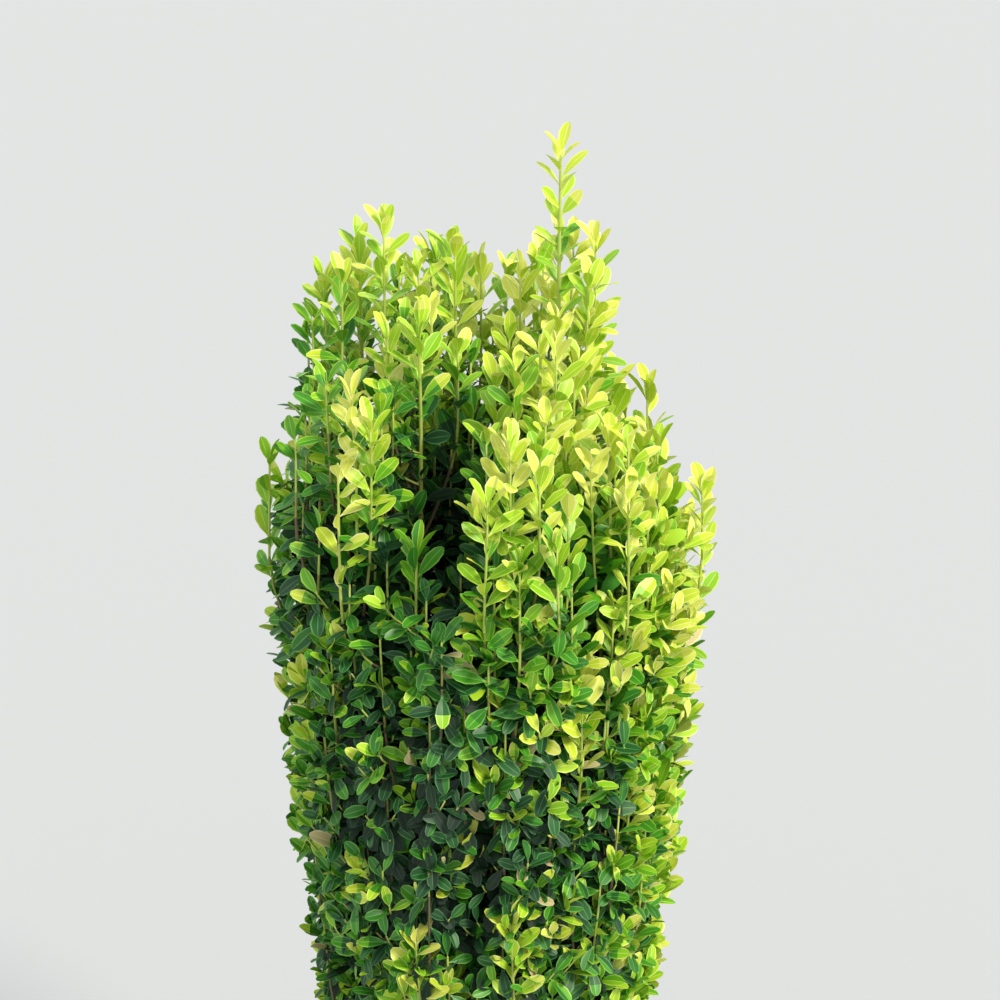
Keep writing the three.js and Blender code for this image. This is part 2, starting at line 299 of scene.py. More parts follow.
# Light and sight reach into the crown from its side, and down from its roof. Leaves deeper
# than the light reaches get painted shade, some tints darker, and those out of sight get fewer
# triangles
ROOF = 665
DOWN_SHARE = 0.6
HIDDEN_DEPTH = 34
SHADE_DEPTHS = (12, 42)
SHADE_TINTS = (3.8, 1.9)

# Leaf tints, from the youngest to the oldest: the blade and its rim and midrib. The darkest,
# shade and deep, also serve as painted shade for leaves deep in the crown
TINTS = (
    ("cream", "#e2e95f", "#f6f4ac"),
    ("gold", "#cbe03a", "#ecf18a"),
    ("lime", "#aed62b", "#dcec74"),
    ("fresh", "#8bc522", "#c8e25e"),
    ("grass", "#64aa1e", "#a3cf4a"),
    ("leaf", "#43901f", "#82b945"),
    ("holly", "#2f751e", "#659f45"),
    ("bottle", "#225c24", "#578f4f"),
    ("shade", "#184520", "#437848"),
    ("deep", "#0d2914", "#234a2b"),
    ("fading buff", "#d3c488", "#e6deb2"),
    ("withered russet", "#8a4a2b", "#a5683f"),
)
DARKEST_GREEN = 9
OLD_TINT = 8.2
YOUTH_TINTS = 8
AGED_TINTS = 2.4
TIP_TINTS = 0.9

# Half of a leaf, or its end, can be in a younger tint. A few old leaves fade or wither
HALF_SHARE = 0.16
HALF_TINTS = -1.3
END_TINTS = (0, 0.08, 0.3, 0.31), (-4, -2, -1, 0)
FADING_SHARE = 0.008
FADING_TOP = SOIL_LEVEL + 570
WITHERED_SHARE = 0.0015
WITHERED_TOP = SOIL_LEVEL + 380


def chance(seed, k):
    """A repeatable number from 0 to 1 for the k-th choice of a spire."""
    x = np.sin(seed * 12.9898 + k * 78.233) * 43758.5453
    return x - np.floor(x)


def mix(a, b, share):
    return a + (b - a) * share


def ease(value, low, high):
    """From 0 at low to 1 at high, smoothly."""
    share = np.clip((value - low) / (high - low), 0, 1)
    return share * share * (3 - 2 * share)


def unit(vectors):
    return vectors / np.linalg.norm(vectors, axis=-1, keepdims=True)


def crown_reach(height):
    return np.interp(height, CROWN_HEIGHTS, CROWN_REACHES)


def make_spires():
    """The spires in the part's order, which gives each its seed and its fork."""
    spires = []
    listed = {**OUTER_SPIRES, **INNER_SPIRES}
    for k, (name, (bearing, tip, youth)) in enumerate(listed.items()):
        ring = OUTER if name in OUTER_SPIRES else INNER
        fork = ring.forks[k % len(ring.forks)]
        spire = SimpleNamespace(
            name=name,
            seed=k + 1,
            tip=tip,
            top=LONE_TOPS.get(name, PLAIN_TOP),
            youth=youth,
            fork=fork,
            rise=ring.rise,
            enters=fork + ring.bare,
            outer=ring is OUTER,
            share=ring.share + SHARE_SPREAD * (chance(k + 1, 2) - 0.5),
            bearing=math.radians(bearing),
        )
        spires.append(spire)
    return spires


SPIRES = make_spires()


def trunk_lean(height):
    return TRUNK_LEAN * height / TRUNK_HEIGHT


def trunk_reach(height):
    flare = FLARE_RADIUS * np.exp(-height / FLARE_HEIGHT)
    return mix(TRUNK_RADIUS, TRUNK_TIP_RADIUS, np.clip(height / TRUNK_HEIGHT, 0, 1)) + flare


def line_point(spire, height):
    """Points on the line that a spire's bough and stem follow."""
    height = np.asarray(height, float)
    risen = np.clip((height - spire.fork) / spire.rise, 0, 1)
    out = spire.share * crown_reach(height) * np.sin(risen * math.pi / 2)
    root = trunk_lean(np.minimum(height, TRUNK_HEIGHT))
    x = root * (1 - risen) + out * math.cos(spire.bearing)
    y = out * math.sin(spire.bearing)
    return np.stack([x, y, SOIL_LEVEL + height], axis=-1)


def between(height, low, high, end):
    """1 between two heights and 0 beyond them, with soft ends."""
    return ease(height, low - end, low + end) * (1 - ease(height, high - end, high + end))


def channel_depth(points):
    """How far the foliage stands back from the crown's reach in grooves and channels."""
    height = points[..., 2] - SOIL_LEVEL
    bearing = np.arctan2(points[..., 1], points[..., 0])
    waves = 0
    for count, rise, strength, start in GROOVE_WAVES:
        waves = waves + strength * np.sin(count * bearing + height / rise + start)
    depth = GROOVE_DEPTH * ease(waves, *GROOVE_EDGES)
    for turn, low, high, half, deep in CHANNELS:
        swing = (bearing - math.radians(turn) + math.pi) % (2 * math.pi) - math.pi
        across = swing * crown_reach(height) / half
        runs = between(height, low, high, CHANNEL_END)
        depth = np.maximum(depth, deep * np.exp(-(across**2)) * runs)
    return depth


def keeps_space(spire, points, border, inside):
    """True where a point is off the trunk, further than border from the middle between its
    own spire's line and any other, and further than inside from the crown's outline."""
    height = points[..., 2] - SOIL_LEVEL
    flat = points[..., :2]
    kept = (height > LOWEST_LEAF) & (height < spire.tip)
    reach = crown_reach(height) - channel_depth(points)
    kept &= np.linalg.norm(flat, axis=-1) < reach - inside
    to_trunk = np.hypot(flat[..., 0] - trunk_lean(height), flat[..., 1]) - trunk_reach(height)
    kept &= (height > TRUNK_HEIGHT + TRUNK_TIP_RADIUS) | (to_trunk > TRUNK_GAP)
    own = line_point(spire, np.maximum(height, spire.fork))[..., :2]
    own_distance = np.linalg.norm(flat - own, axis=-1)
    for other in SPIRES:
        if other is spire:
            continue
        there = (height >= other.fork) & (height < other.tip + LEAF_LENGTH / 2)
        place = line_point(other, height)[..., :2]
        apart = np.linalg.norm(place - own, axis=-1)
        distance = np.linalg.norm(flat - place, axis=-1)
        to_border = (distance**2 - own_distance**2) / (2 * apart + TINY)
        kept &= ~there | (to_border > border)
    return kept


def shoot_point(spire, foot, length, offset, turn, along, sway=0.0):
    """Points on a shoot's line: out from the stem, then up beside it."""
    at = line_point(spire, np.minimum(foot + along * length, spire.tip))
    out = offset * np.sin(np.minimum(along / SHOOT_UPRIGHT, 1) * math.pi / 2)
    way = spire.bearing + turn
    side = sway * np.sin(along * math.pi * 1.5)
    at[..., 0] += out * np.cos(way) - side * np.sin(way)
    at[..., 1] += out * np.sin(way) + side * np.cos(way)
    at[..., 2] = SOIL_LEVEL + foot + along * length
    return at


def twig_of(kind, line, length, seed, youth=None):
    return SimpleNamespace(line=line, length=length, seed=seed, youth=youth, **kind)


def shoot_of(spire, tip, length, offset, turn, k):
    sway = mix(-2.2, 2.2, chance(spire.seed, k + SWAY_CHOICE))

    def line(along):
        return shoot_point(spire, tip - length, length, offset, turn, along, sway)

    shoot = twig_of(SHOOT, line, length, spire.seed + 1.7 * k)
    shoot.tip, shoot.offset = tip, offset
    return shoot


def in_bay(end, tip):
    """True where a shoot with its tip at a height would stand in one of the bays."""
    for foot, left, right, back in BAYS:
        if tip > foot and left < end[0] < right and end[1] < back:
            return True
    return False


def in_first_bay(x, y):
    """From 0 to 1: how far a place lies within the first bay, seen from above."""
    _, left, right, back = BAYS[0]
    across = ease(x, left - 10, left + 5) * (1 - ease(x, right - 5, right + 10))
    return across * (1 - ease(y, back, back + 25))


def shoot_tries(spire, tip, length, setback, k):
    """The turns that a shoot tries, its points at each turn and offset, and where it fits."""
    tries = (np.arange(SHOOT_TRIES) + chance(spire.seed, k)) / SHOOT_TRIES * 2 - 1
    turns = np.radians((SHOOT_TURN if spire.outer else 180) * tries)
    size = (len(turns), len(SHOOT_OFFSETS), len(SHOOT_PLACES))
    along = np.broadcast_to(SHOOT_PLACES, size)
    offsets = SHOOT_OFFSETS[None, :, None]
    points = shoot_point(spire, tip - length, length, offsets, turns[:, None, None], along)
    fits = keeps_space(spire, points, border=3.5, inside=setback).all(axis=2)
    fits &= SHOOT_OFFSETS < 6 + spire.top[2] * (spire.tip - tip)
    fits &= SHOOT_OFFSETS < 6 + 0.5 * length
    return turns, points, fits


def place_shoot(spire, tip, k, placed):
    """The shoot with its tip at a height: the try that stands furthest from those placed."""
    length = mix(*SHOOT_LENGTH, chance(spire.seed, k + LENGTH_CHOICE))
    length = min(length, tip - spire.enters - 2)
    carries = tip < SPRIG_TOP and spire.outer
    carries = carries and chance(spire.seed, k + SPRIG_CHOICE) < SPRIG_SHARE
    share = chance(spire.seed, k + SETBACK_CHOICE)
    setback = mix(*SPRIG_SETBACK, share) if carries else mix(*SHOOT_SETBACK, share**2)
    turns, points, fits = shoot_tries(spire, tip, length, setback, k)
    best = None
    for t in np.flatnonzero(fits.any(axis=1)):
        first = int(np.argmax(fits[t]))
        end = points[t, first, -1]
        if in_bay(end, tip):
            continue
        away = (np.array(placed) - end) / SHOOT_APART
        apart = np.linalg.norm(away, axis=1).min()
        score = min(apart, ENOUGH_APART) + 0.004 * np.hypot(end[0], end[1])
        if best is None or score > best[0]:
            best = (score, apart, float(SHOOT_OFFSETS[first]), turns[t], end)
    if best is None or best[1] < LEAST_APART:
        return None
    _, _, offset, turn, end = best
    placed.append(end)
    shoot = shoot_of(spire, tip, length, offset, turn, k)
    shoot.carries = carries
    return shoot


def lone_shoot(spire, x, y, tip, youth, k):
    """A shoot whose tip stands at a named place."""
    away = np.array([x, y]) - line_point(spire, tip)[:2]
    turn = math.atan2(away[1], away[0]) - spire.bearing
    shoot = shoot_of(spire, tip, 180, float(np.hypot(*away)), turn, k)
    shoot.carries = False
    shoot.spacing = LONE_SPACING
    shoot.youth = youth
    return shoot


def make_shoots(spire, placed):
    shoots = []
    for k, (name, x, y, tip, youth) in enumerate(LONE_SHOOTS):
        if name == spire.name:
            shoots.append(lone_shoot(spire, x, y, tip, youth, k + LONE_CHOICE))
            placed.append(np.array([x, y, SOIL_LEVEL + tip]))
    lowest = SHOOT_LOWEST_TIP if spire.outer else INNER_LOWEST_TIP
    highest = spire.tip - spire.top[0]
    for k, tip in enumerate(np.arange(highest, lowest, -SHOOT_STEP)):
        shoot = place_shoot(spire, tip, k, placed)
        if shoot:
            shoots.append(shoot)
    return shoots


def sprig_line(root, way, length):
    """A short twig that leaves its shoot sideways and bends up."""
    rise = np.array([0, 0, 1.0])

    def line(along):
        along = np.asarray(along)[..., None]
        out = way * length * (0.92 * along - 0.2 * along**2)
        return root + out + rise * length * (0.3 * along + 0.35 * along**2)

    return line


def fitting_sprig(spire, root, way, k, youth):
    """The sprig that leaves a place some way, cut shorter until it fits, or none."""
    for share in (1, 0.8, 0.6):
        length = share * mix(*SPRIG_LENGTH, chance(k, 3))
        line = sprig_line(root, way, length)
        if keeps_space(spire, line(np.array(1.0)), border=-7, inside=7):
            return twig_of(SPRIG, line, length, k, youth)
    return None


def make_sprigs(spire, twig, first, last, step, swing=OPEN_SWING):
    """Side twigs of a twig, to the left and right by turns. They stand between two
    distances below its tip, and swing some way from the open side."""
    sprigs = []
    count = max(2, int((last - first) / step))
    for n in range(count):
        k = twig.seed * 3 + n
        along = 1 - mix(last, first, (n + chance(k, 1)) / count) / twig.length
        root = twig.line(np.array(along))
        side = 1 if n % 2 else -1
        bearing = math.atan2(root[1], root[0]) + math.radians(side * mix(*swing, chance(k, 2)))
        way = np.array([math.cos(bearing), math.sin(bearing), 0])
        sprig = fitting_sprig(spire, root, way, k, twig.youth)
        if sprig:
            sprigs.append(sprig)
    return sprigs


def stem_of(spire):
    top = spire.tip - spire.top[1]

    def line(along):
        return line_point(spire, mix(spire.enters, top, along))

    return twig_of(STEM, line, top - spire.enters, spire.seed, spire.youth)


def youth_at(point, rng):
    """How young the leaves look at a place: lime at the crown's top and down its sunny
    right side, partly as painted light, bottle green low on the front and left, darker still by
    painted shade on the left's upper part, and yellow here and there."""
    height = point[2] - SOIL_LEVEL
    bearing = math.atan2(point[1], point[0])
    # Painted light, partly the leaves' own yellower tint: a sunny band on the right is made
    # younger and brighter
    wider = SUN_WIDER * ease(height, *SUN_WIDENS)
    sun = ease(math.cos(bearing - SUN_BEARING), SUN_BAND[0] - wider, SUN_BAND[1] - wider)
    sun *= mix(LOW_SUN, 1, ease(height, *SUN_BRIGHTENS))
    left = ease(-math.cos(bearing), *LEFT_BAND)
    risen = ease(height, *YOUTH_RISE)
    # Painted shade: the left's upper part, short of its top, loses youth and so gets darker tints
    shade = ease(-point[0], *SHADE_BEGINS) * risen * (1 - ease(height, *SHADE_ENDS))
    youth = FOOT_YOUTH + RISE_GAIN * risen + sun * mix(*SUN_GAIN, risen**2)
    youth += left * mix(*LEFT_GAIN, risen)
    youth -= SHADE_LOSS * shade
    for turn, half, low, high, change in PATCHES:
        across = abs((math.degrees(bearing) - turn + 180) % 360 - 180)
        lies = between(height, low, high, PATCH_END)
        youth += change * (1 - ease(across, half / 2, half)) * lies
    youth += rng.normal(0, 0.08)
    if rng.uniform() < np.interp(height, *FRESH_CHANCES):
        youth += FRESH_GAIN
    return float(np.clip(youth, LEAST_YOUTH, 1))


def flat_way(angle):
    return np.stack([np.cos(angle), np.sin(angle), np.zeros(len(angle))], axis=-1)


def twig_leaves(twig, rng):
    """The leaves of one twig, from its tip down: places, directions, sizes and tints."""
    reach = twig.length * (1 - twig.bare)
    k = np.arange(int(reach / twig.spacing) + 4)
    from_tip = twig.spacing * k**2 / (k + CROWDED_LEAVES)
    k = k[from_tip < reach]
    count = len(k)
    from_tip = from_tip[:count]
    along = 1 - from_tip / twig.length
    root = twig.line(along)
    way = unit(twig.line(along + 0.01) - twig.line(along - 0.01))
    bias = LEAF_OUTWARD * np.clip(from_tip / 30, 0, 1)
    out = flat_way(np.radians(GOLDEN_TURN * (k + 1.7 * twig.seed)))
    out += bias[:, None] * flat_way(np.arctan2(root[:, 1], root[:, 0]))
    out = unit(out - way * (out * way).sum(axis=-1, keepdims=True))
    near_tip = np.exp(-k / TIP_LEAVES)
    full = mix(OLD_LEAF_LENGTH, LEAF_LENGTH, ease(twig.youth, *GROWN_YOUTH))
    length = twig.size * full * (1 - 0.16 * near_tip) * rng.uniform(0.8, 1.16, count)
    old = 1 - ease(twig.youth, *OLD_YOUTH)
    aged = np.clip(from_tip / AGED_DISTANCE, 0, 1)
    tilt = TIP_TILT + mix(*SIDE_TILTS, old) * (1 - near_tip) + mix(*AGED_TILTS, old) * aged
    tilt += rng.normal(0, 9, count)
    tint = OLD_TINT - YOUTH_TINTS * twig.youth
    tint = tint + AGED_TINTS * np.clip((from_tip - 30) / 100, 0, 1) - TIP_TINTS * near_tip
    return SimpleNamespace(
        root=root,
        way=way,
        out=out,
        length=length,
        width=length * LEAF_WIDTH * rng.uniform(0.88, 1.12, count),
        tilt=np.radians(tilt),
        roll=np.radians(rng.normal(0, 15, count)),
        fold=rng.uniform(0.04, 0.28, count) + 0.3 * near_tip,
        curl=rng.uniform(-0.05, 0.2, count),
        turned=rng.uniform(*LEAF_TURNED, count) * (1 - 0.5 * near_tip),
        droop=rng.uniform(0, 1.4, count) * old * (1 - near_tip),
        tint=tint + rng.normal(0, 0.6, count),
    )


def leaf_frames(leaves):
    """The three directions of each leaf: along it, out of its upper side, and across it. A
    leaf turns its upper side some way to the light, outward and up."""
    cos, sin = np.cos(leaves.tilt)[:, None], np.sin(leaves.tilt)[:, None]
    along = unit(leaves.way * cos + leaves.out * sin - leaves.droop[:, None] * (0, 0, 1))
    outward = unit(leaves.root * (1, 1, 0)) * LIGHT_OUTWARD + (0, 0, LIGHT_UP)
    above = ease(leaves.root[:, 2:] - SOIL_LEVEL, *OPEN_TOP)
    light = mix(outward, np.array(SKY_LIGHT), above)
    face = leaves.way * sin - leaves.out * cos + light * leaves.turned[:, None]
    face = unit(face - along * (face * along).sum(axis=-1, keepdims=True))
    across = np.cross(along, face)
    roll_cos, roll_sin = np.cos(leaves.roll)[:, None], np.sin(leaves.roll)[:, None]
    return along, face * roll_cos - across * roll_sin, across * roll_cos + face * roll_sin


def pick(leaves, chosen):
    return SimpleNamespace(**{key: value[chosen] for key, value in vars(leaves).items()})


def within_crown(leaves):
    """True where a leaf's tip stays within the crown's outline and above the soil."""
    tip = leaves.root + leaf_frames(leaves)[0] * leaves.length[:, None]
    height = tip[:, 2] - SOIL_LEVEL
    reach = crown_reach(height) - 0.8 * channel_depth(tip)
    return (np.hypot(tip[:, 0], tip[:, 1]) - reach < 2) & (height > LOWEST_LEAF)


def keep_leaves(leaves):
    """Leaves that would pass the crown's outline are turned up, and then skipped."""
    leaves.tilt = np.where(within_crown(leaves), leaves.tilt, leaves.tilt * TURNED_UP)
    return pick(leaves, within_crown(leaves))


def join_leaves(lots):
    keys = vars(lots[0])
    return SimpleNamespace(**{k: np.concatenate([vars(lot)[k] for lot in lots]) for k in keys})


def grid_triangles(rows, columns):
    """Two triangles for each cell of a grid of points, with the cell's row and column."""
    triangles, cells = [], []
    for r in range(rows - 1):
        for c in range(columns - 1):
            a = r * columns + c
            b = a + columns
            triangles += [(a, a + 1, b + 1), (a, b + 1, b)]
            cells += [(r, c), (r, c)]
    return np.array(triangles), np.array(cells)


def leaf_mesh(leaves, acrosses):
    """Every leaf as the same small grid, bent along its length and folded at its midrib."""
    along, face, across = (way[:, None, None] for way in leaf_frames(leaves))
    each = pick(leaves, np.s_[:, None, None])
    t = LEAF_ALONG[:, None]
    x = LEAF_HALF[:, None] * acrosses
    half = each.width / 2
    up = each.length * (-each.curl * t**2 + 0.02 * np.sin(t * math.pi))
    up = up + half * np.abs(x) * each.fold
    forward = each.length * t + 0 * x
    points = each.root + along * forward[..., None]
    points = points + across * (half * x)[..., None] + face * up[..., None]
    size = len(LEAF_ALONG) * len(acrosses)
    triangles, cells = grid_triangles(len(LEAF_ALONG), len(acrosses))
    offsets = np.arange(len(leaves.tint))[:, None, None] * size
    return points.reshape(-1, 3), (triangles[None] + offsets).reshape(-1, 3), cells


def leaf_numbers(leaves, cells, rng, fine):
    """A material number for each triangle: even numbers are blades, odd ones rims."""
    row, column = cells[:, 0], cells[:, 1]
    count = len(leaves.tint)
    halves = np.where(rng.uniform(size=(2, count, 1)) < HALF_SHARE, HALF_TINTS, 0)
    end = np.interp(rng.uniform(size=count), *END_TINTS)[:, None]
    rim = fine & ((column % 2 == 0) | (row == 0))
    tint = leaves.tint[:, None] + np.where(column <= 1, *halves) + end * (row >= 3)
    tint = np.clip(np.round(tint), 0, DARKEST_GREEN).astype(int)
    height = leaves.root[:, 2]
    fading = rng.uniform(size=count) + (leaves.tint < 3) + (height > FADING_TOP)
    tint[fading < FADING_SHARE] = DARKEST_GREEN + 1
    tint[fading + (height > WITHERED_TOP) < WITHERED_SHARE] = DARKEST_GREEN + 2
    return (2 * tint + rim).reshape(-1)


def place_object(name, data):
    piece = bpy.data.objects.new(name, data)
    bpy.context.scene.collection.objects.link(piece)
    return piece


def mesh_piece(name, materials, points, triangles, numbers=0):
    """A smooth mesh of triangles, with only the materials that it uses."""
    numbers = np.broadcast_to(numbers, len(triangles))
    used, slots = np.unique(numbers, return_inverse=True)
    mesh = bpy.data.meshes.new(name)
    mesh.vertices.add(len(points))
    mesh.vertices.foreach_set("co", (points * MM).astype(np.float32).ravel())
    mesh.loops.add(triangles.size)
    mesh.loops.foreach_set("vertex_index", triangles.astype(np.int32).ravel())
    mesh.polygons.add(len(triangles))
    mesh.polygons.foreach_set("loop_start", np.arange(0, triangles.size, 3, dtype=np.int32))
    for number in used:
        mesh.materials.append(materials[number])
    mesh.polygons.foreach_set("material_index", slots.astype(np.int32).ravel())
    mesh.polygons.foreach_set("use_smooth", np.ones(len(triangles), bool))
    mesh.update(calc_edges=True)
    return place_object(name, mesh)


def ring_triangles(steps, sides):
    """Triangles over rings of points, closed at both ends by a point each, and their rows."""
    triangles, rows = [], []
    for r in range(steps - 1):
        for c in range(sides):
            a, b = r * sides + c, r * sides + (c + 1) % sides
            triangles += [(a, b, b + sides), (a, b + sides, a + sides)]
            rows += [r, r]
    foot, tip, top = steps * sides, steps * sides + 1, (steps - 1) * sides
    for c in range(sides):
        following = (c + 1) % sides
        triangles += [(foot, following, c), (tip, top + c, top + following)]
        rows += [0, steps - 2]
    return np.array(triangles), np.array(rows)


def tubes(lines, radii, sides):
    """Closed tapering tubes round lines of (tube, step, xyz). Radii are given for each step,
    and for each side too where there is a relief."""
    count, steps, _ = lines.shape
    way = unit(np.gradient(lines, axis=1))
    side = unit(np.cross(way, (1.0, 0.013, 0.0)))
    third = np.cross(way, side)
    angle = np.linspace(0, 2 * math.pi, sides, endpoint=False)[:, None]
    ring = side[:, :, None] * np.cos(angle) + third[:, :, None] * np.sin(angle)
    radii = np.broadcast_to(radii, (count, steps, sides))
    rings = lines[:, :, None] + ring * radii[..., None]
    end_radii = radii[:, [0, -1]].mean(axis=2)[..., None] * np.array([[-0.6], [0.6]])
    ends = lines[:, [0, -1]] + way[:, [0, -1]] * end_radii
    points = np.concatenate([rings.reshape(count, -1, 3), ends], axis=1)
    triangles, rows = ring_triangles(steps, sides)
    shifted = triangles[None] + np.arange(count)[:, None, None] * (steps * sides + 2)
    return points.reshape(-1, 3), shifted.reshape(-1, 3), np.tile(rows, count)


def joined(lots):
    """Several lots of points, triangles and material numbers as one."""
    points, triangles, numbers = zip(*lots)
    starts = np.cumsum([0, *map(len, points[:-1])])
    shifted = [some + start for some, start in zip(triangles, starts)]
    return np.concatenate(points), np.concatenate(shifted), np.concatenate(numbers)


def twig_lot(twigs):
    """Twigs of one kind as tubes. Number 0 is brown, 1 half ripe and 2 green."""
    kind = twigs[0]
    along = np.linspace(0, 1, kind.steps)
    lines = np.stack([twig.line(along) for twig in twigs])
    radii = mix(*kind.radii, along)[:, None]
    points, triangles, rows = tubes(lines, radii, kind.sides)
    brown = np.array([mix(*kind.ripe, twig.youth) for twig in twigs])
    share = (rows.reshape(len(twigs), -1) + 1) / (kind.steps - 1) - brown[:, None]
    numbers = np.where(share < 0, 0, np.where(share < HALF_RIPE, 1, 2))
    return points, triangles, numbers.reshape(-1)


# Sizes of the patterns in the finishes
CLAY_CLOUDS = 42
CLAY_GRAIN = 1.1
LIME_BLOOM = 80
COMPOST_GRAIN = 2.6
BARK_STREAKS = 3.2
STREAK_STRETCH = 5
ALGAE_BLOOM = 17
NOISE_LOW, NOISE_HIGH = 0.3, 0.7


def srgb(code):
    """A hex colour as the linear values that Blender works in."""
    values = [int(code[k : k + 2], 16) / 255 for k in (1, 3, 5)]
    linear = [v / 12.92 if v <= 0.04045 else ((v + 0.055) / 1.055) ** 2.4 for v in values]
    return (*linear, 1.0)


def new_material(name):
    material = bpy.data.materials.new(name)
    material.use_nodes = True
    material.node_tree.nodes.clear()
    return material


def add(material, kind, **inputs):
    """Adds a node with its settings. An input takes a value, or the socket that feeds it."""
    node = material.node_tree.nodes.new(kind)
    for key, value in inputs.items():
        socket = node.inputs[key.replace("_", " ")]
        if isinstance(value, bpy.types.NodeSocket):
            material.node_tree.links.new(value, socket)
        else:
            socket.default_value = value
    return node


def finish(material, **inputs):
    shader = add(material, "ShaderNodeBsdfPrincipled", **inputs)
    add(material, "ShaderNodeOutputMaterial", Surface=shader.outputs["BSDF"])
    return material


def leaf_finish(name, colour, roughness):
    """Waxed living leaf: a clear skin over the green, so it has a soft broad shine."""
    wax = {"IOR": 1.45, "Coat_Weight": 0.05, "Coat_Roughness": 0.25}
    return finish(new_material(name), Base_Color=srgb(colour), Roughness=roughness, **wax)


def pattern(material, size, detail=3.0, stretch=1.0, low=0.0, high=1.0):
    """Cloudy noise with features of a size in mm, drawn out along Z by stretch. Noise stays
    near a half, so its middle is spread from low to high."""
    place = add(material, "ShaderNodeTexCoord").outputs["Object"]
    scaled = add(material, "ShaderNodeMapping", Vector=place, Scale=(1, 1, 1 / stretch))
    vector = scaled.outputs["Vector"]
    scale = 1 / (size * MM)
    cloud = add(material, "ShaderNodeTexNoise", Vector=vector, Scale=scale, Detail=detail)
    ends = {"From_Min": NOISE_LOW, "From_Max": NOISE_HIGH, "To_Min": low, "To_Max": high}
    spread = add(material, "ShaderNodeMapRange", Value=cloud.outputs["Fac"], **ends)
    return spread.outputs["Result"]


def layered(material, under, over, size, **cloud):
    """A colour with another one over it where a cloudy pattern of a size in mm is high."""
    share = pattern(material, size, **cloud)
    both = add(material, "ShaderNodeMixRGB", Fac=share, Color1=under, Color2=over)
    return both.outputs["Color"]


def weathered(material, colour, size, depth, rough, **grain):
    """The finish of a matt surface whose grain has a size and a depth in mm."""
    height = pattern(material, size, **grain)
    relief = add(material, "ShaderNodeBump", Height=height, Distance=depth * MM, Strength=0.8)
    normal = relief.outputs["Normal"]
    roughness = pattern(material, size, low=rough[0], high=rough[1], **grain)
    return finish(material, Base_Color=colour, Roughness=roughness, IOR=1.5, Normal=normal)


def fired_clay():
    """Unglazed thrown earthenware: soft clouds of red, a pale bloom of lime, a sandy grain."""
    material = new_material("unglazed fired clay")
    clay = layered(material, srgb("#925239"), srgb("#ab7053"), CLAY_CLOUDS, detail=4)
    bloom = {"detail": 12, "stretch": 0.8, "low": -0.36, "high": 0.5}
    colour = layered(material, clay, srgb("#bd9d89"), LIME_BLOOM, **bloom)
    return weathered(material, colour, CLAY_GRAIN, 0.09, (0.8, 0.96), detail=2)


def damp_compost():
    """Damp potting compost: dark humus with paler fibres in it, rough at every scale."""
    material = new_material("damp potting compost")
    colour = layered(material, srgb("#1a120c"), srgb("#4d3a2a"), COMPOST_GRAIN, detail=5)
    return weathered(material, colour, COMPOST_GRAIN, 0.4, (0.8, 1), detail=5)


def matt_finish(name, colour):
    """Dry crumb or matt paint: one even colour that shows soft shadows and no shine."""
    return finish(new_material(name), Base_Color=srgb(colour), Roughness=0.95)


def limb_bark(name, dark, pale):
    """Grey-brown holly bark, streaked along the limb, with a thin green bloom of algae."""
    material = new_material(name)
    streaks = {"detail": 9, "stretch": STREAK_STRETCH}
    bark = layered(material, srgb(dark), srgb(pale), BARK_STREAKS, **streaks)
    bloom = {"detail": 4, "stretch": 2, "low": -0.6, "high": 0.7}
    colour = layered(material, bark, srgb("#7c8660"), ALGAE_BLOOM, **bloom)
    return weathered(material, colour, BARK_STREAKS, 0.2, (0.72, 0.92), **streaks)


def finish_piece(piece, slot, *nodes):
    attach(piece, BODY)
    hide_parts(*nodes)


def make_twigs(spire, placed, rng):
    """The stem, shoots and sprigs of a spire, each with its youth."""
    shoots = make_shoots(spire, placed)
    stem = stem_of(spire)
    first, last, step = STEM_SPRIGS
    sprigs = make_sprigs(spire, stem, max(first, spire.top[0]), last, step)
    first, last, step = INNER_SPRIGS
    inner = make_sprigs(spire, stem, first, last * stem.length, step, INNER_SWING)
    for sprig in inner:
        sprig.youth = INNER_YOUTH
    sprigs += inner
    for shoot in shoots:
        if shoot.youth is None:
            shoot.youth = youth_at(shoot.line(np.array(1.0)), rng)
        beside = spire.name == BRIGHT_SPIRE and shoot.offset < BRIGHT_REACH
        if beside and shoot.tip > BRIGHT_FOOT:
            shoot.youth = min(1, shoot.youth + BRIGHT_GAIN)
        if shoot.carries:
            first, last, step = SHOOT_SPRIGS
            ends = first * shoot.length, last * shoot.length
            sprigs += make_sprigs(spire, shoot, *ends, step)
    for sprig in sprigs:
        fresh = 0.45 if rng.uniform() < 0.09 else 0
        youth = sprig.youth + rng.normal(0, 0.05) + fresh
        sprig.youth = float(np.clip(youth, LEAST_YOUTH, 1))
    return stem, shoots, sprigs


def leaf_finishes():
    """Two finishes for each tint, the blade's and the rim's. Old leaves are duller."""
    finishes = []
    for k, (name, blade, rim) in enumerate(TINTS):
        dull = 0.25 * ease(k, 6, DARKEST_GREEN)
        finishes += [
            leaf_finish(f"waxed leaf blade, {name}", blade, 0.4 + dull),
            leaf_finish(f"leaf rim and midrib, {name}", rim, 0.46 + dull),
        ]
    return finishes


